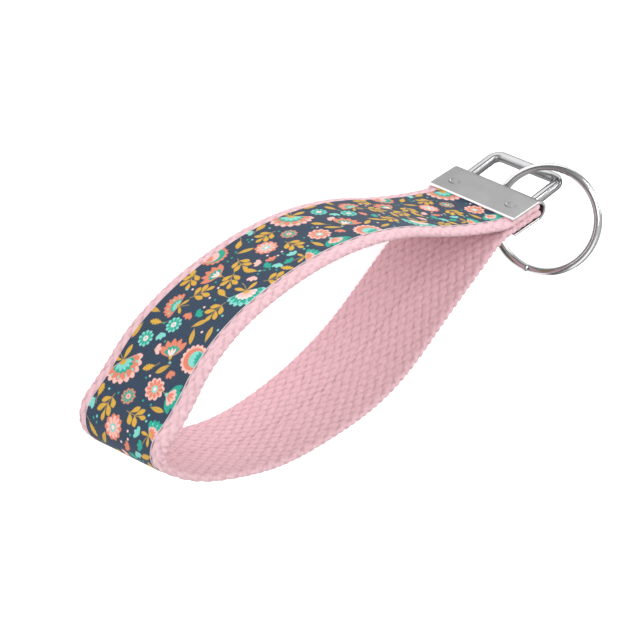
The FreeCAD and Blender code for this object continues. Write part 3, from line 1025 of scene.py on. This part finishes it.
def clamp_section(inner, fold):
    """The folded plate's edge as a closed line, with a rounded lip at each side of the mouth.
    Returns the points and, for each, the direction away from the strap."""
    outer = inner + PLATE_THICKNESS_MM
    lip, lip_depth = LIP_MM
    flat = np.linspace(-lip, fold, 62)
    round_outer = np.linspace(0, math.pi, 34)
    points, away = [], []

    def add(x, y, side):
        points.append((x, y))
        away.append(side)

    for angle in np.linspace(0, math.pi / 2, 9)[:-1]:
        add(-lip + lip * math.cos(angle), -(outer - lip_depth + lip_depth * math.sin(angle)), -1)
    for x in flat:
        add(x, -outer, -1)
    for angle in round_outer[1:-1]:
        add(fold - outer * math.sin(angle), -outer * math.cos(angle), 0)
    for x in flat[::-1]:
        add(x, outer, 1)
    for angle in np.linspace(math.pi / 2, 0, 9)[1:]:
        add(-lip + lip * math.cos(angle), outer - lip_depth + lip_depth * math.sin(angle), 1)
    for x in np.linspace(-0.05, fold, 60):
        add(x, inner, 1)
    for angle in round_outer[::-1][1:-1]:
        add(fold - inner * math.sin(angle), -inner * math.cos(angle), 0)
    for x in np.linspace(fold, -0.05, 60):
        add(x, -inner, -1)
    return np.array(points), np.array(away)


def tooth_mark(x, z):
    """How far the plate is pressed in at a point, in mm: an oval, deeper towards the mouth."""
    depth = 0
    for middle in (-TOOTH_SPREAD_MM / 2, TOOTH_SPREAD_MM / 2):
        along = (x + TOOTH_BACK_MM) / TOOTH_SIZE_MM[0]
        across = (z - middle) / TOOTH_SIZE_MM[1]
        inside = np.clip((1 - along**2 - across**2) * 2.0, 0, 1)
        depth = depth + TOOTH_DEPTH_MM * inside * (1 - TOOTH_TILT + TOOTH_TILT * along)
    return depth


def make_clamp():
    """The folded plate with a rounded mouth, pressed tooth marks and a slot for each leg."""
    inner = CLAMP_HALF_MM - PLATE_THICKNESS_MM
    fold = (CLAMP_LOW.x - CLAMP_HIGH.x) / MM + CLAMP_HALF_MM
    half = (CLAMP_ENDS[1] - CLAMP_ENDS[0]) / MM / 2
    shift = (CLAMP_HIGH.z + CLAMP_LOW.z - CLAMP_ENDS[1] - CLAMP_ENDS[0]) / MM / 2
    section, away = clamp_section(inner, fold)
    ease = np.array([0.0, 0.05, 0.12, 0.2])
    heights = np.concatenate([-half + ease, np.arange(-half + 0.35, half - 0.3, 0.17),
                              half - ease[::-1]])
    middle_y = np.sign(section[:, 1]) * (inner + PLATE_THICKNESS_MM / 2)
    rows = []
    for z in heights:
        share = min(half - abs(z), END_ROUND_MM) / END_ROUND_MM
        shrink = END_SHRINK_MM * (1 - math.sqrt(share * (2 - share)))
        x, y = section[:, 0].copy(), section[:, 1].copy()
        straight = away != 0
        y[straight] += (middle_y[straight] - y[straight]) * shrink / (PLATE_THICKNESS_MM / 2)
        y[straight] -= away[straight] * tooth_mark(x[straight], z)
        rows.append(np.stack([x, y, np.full(len(x), z)], -1))
    points = np.array(rows)
    count, columns = points.shape[:2]
    clamp = new_object("clamp_plate", points.reshape(-1, 3) * MM,
                       grid_faces(count, columns, True), end_caps(count, columns))
    fix_normals(clamp)
    for side in (-1, 1):
        slot_z = side * LEG_SPREAD_MM / 2 + shift
        cut_slot(clamp, Vector((fold - SLOT_DEPTH_MM / 2, 0, slot_z)) * MM,
                 Vector((SLOT_DEPTH_MM, LEG_SLOT_MM[1], LEG_SLOT_MM[0])) * MM)
    middle_z = (CLAMP_ENDS[1] + CLAMP_ENDS[0]) / 2
    place(clamp, Vector((MOUTH[0], MOUTH[1], middle_z)), Matrix.Identity(3))
    fix_normals(clamp)
    return clamp


def cut_slot(thing, centre, size):
    """Takes a box out of a mesh."""
    work = bmesh.new()
    bmesh.ops.create_cube(work, size=1)
    bmesh.ops.transform(
        work, matrix=Matrix.Translation(centre) @ Matrix.Diagonal((*size, 1)), verts=work.verts
    )
    mesh = bpy.data.meshes.new("cutter")
    work.to_mesh(mesh)
    work.free()
    cutter = bpy.data.objects.new("cutter", mesh)
    bpy.context.scene.collection.objects.link(cutter)
    cut = thing.modifiers.new("cut", "BOOLEAN")
    cut.operation = "DIFFERENCE"
    cut.object = cutter
    bpy.context.view_layer.objects.active = thing
    bpy.ops.object.modifier_apply(modifier="cut")
    bpy.data.objects.remove(cutter)
    bpy.data.meshes.remove(mesh)


# The object ---------------------------------------------------------------------------------


def build():
    webbing = make_webbing()
    dress(webbing, webbing_material())
    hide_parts("webbing_strap")
    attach(webbing, "strap")

    ribbon = make_ribbon()
    dress(ribbon, ribbon_material())
    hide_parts("printed_ribbon")
    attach(ribbon, "strap")

    length = centre_line(1.0)[0][-1] * MM

    add_metal(make_clamp(), "clamp", "strap", clamp_material())
    add_metal(make_loop(), "wire_loop", "loop",
              wire_material("loop_bright", LOOP_TONE, (1, 6, 1), 0.6))
    add_metal(make_ring(), "split_ring", "ring",
              wire_material("ring_bright", RING_TONE, (3, 3, 3), 0.15))


def add_metal(thing, node, body, material):
    dress(thing, material)
    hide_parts(node)
    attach(thing, body)


# Camera, light and floor --------------------------------------------------------------------


def add_camera():
    """The camera, placed from the clamp's mouth and looking down along the strap."""
    data = bpy.data.cameras.new("camera")
    data.sensor_width = 36
    data.lens = CAMERA_LENS_MM
    data.clip_start = 0.01
    data.clip_end = 10
    camera = bpy.data.objects.new("camera", data)
    bpy.context.scene.collection.objects.link(camera)
    forward = Vector(CAMERA_FORWARD).normalized()
    right = Vector(CAMERA_RIGHT)
    right = (right - forward * right.dot(forward)).normalized()
    up = right.cross(forward)
    place = Vector((MOUTH[0], MOUTH[1], 0)) + Vector(CAMERA_OFFSET)
    turned = Matrix((right, up, -forward)).transposed().to_4x4()
    camera.matrix_world = Matrix.Translation(place) @ turned
    bpy.context.scene.camera = camera


def add_light(name, place, target, size, power):
    data = bpy.data.lights.new(name, "AREA")
    data.shape = "DISK"
    data.size = size
    data.energy = power
    light = bpy.data.objects.new(name, data)
    bpy.context.scene.collection.objects.link(light)
    light.location = place
    light.rotation_euler = (Vector(target) - Vector(place)).to_track_quat("-Z", "Y").to_euler()


def add_floor():
    far = FLOOR_HALF_SIZE
    points = np.array([(-far, -far, 0), (far, -far, 0), (far, far, 0), (-far, far, 0)], float)
    floor = new_object("floor", points, np.array([[0, 1, 2, 3]]))
    n = Nodes("floor_paper")
    dress(floor, n.set(
        Base_Color=(0.90, 0.90, 0.90),
        Roughness=0.9,
        Emission_Color=(1.0, 1.0, 1.0),
        Emission_Strength=FLOOR_GLOW,
    ))


def add_world():
    """A studio that is bright overhead and dim at the horizon, for the metal to mirror."""
    world = bpy.data.worlds.new("room")
    bpy.context.scene.world = world
    world.use_nodes = True
    tree = world.node_tree
    background = tree.nodes["Background"]
    coords = tree.nodes.new("ShaderNodeTexCoord")
    split = tree.nodes.new("ShaderNodeSeparateXYZ")
    ramp = tree.nodes.new("ShaderNodeValToRGB")
    ramp.color_ramp.elements[0].position = 0.04
    ramp.color_ramp.elements[0].color = (HORIZON_GREY, HORIZON_GREY, HORIZON_GREY, 1)
    ramp.color_ramp.elements[1].position = 0.55
    ramp.color_ramp.elements[1].color = (1, 1, 1, 1)
    tree.links.new(coords.outputs["Generated"], split.inputs[0])
    tree.links.new(split.outputs["Z"], ramp.inputs["Fac"])
    tree.links.new(ramp.outputs["Color"], background.inputs["Color"])
    background.inputs["Strength"].default_value = ROOM_STRENGTH


def main():
    build()
    add_camera()
    add_floor()
    add_world()
    for light in LIGHTS:
        add_light(*light)
    bpy.context.scene.view_settings.view_transform = "Standard"


main()
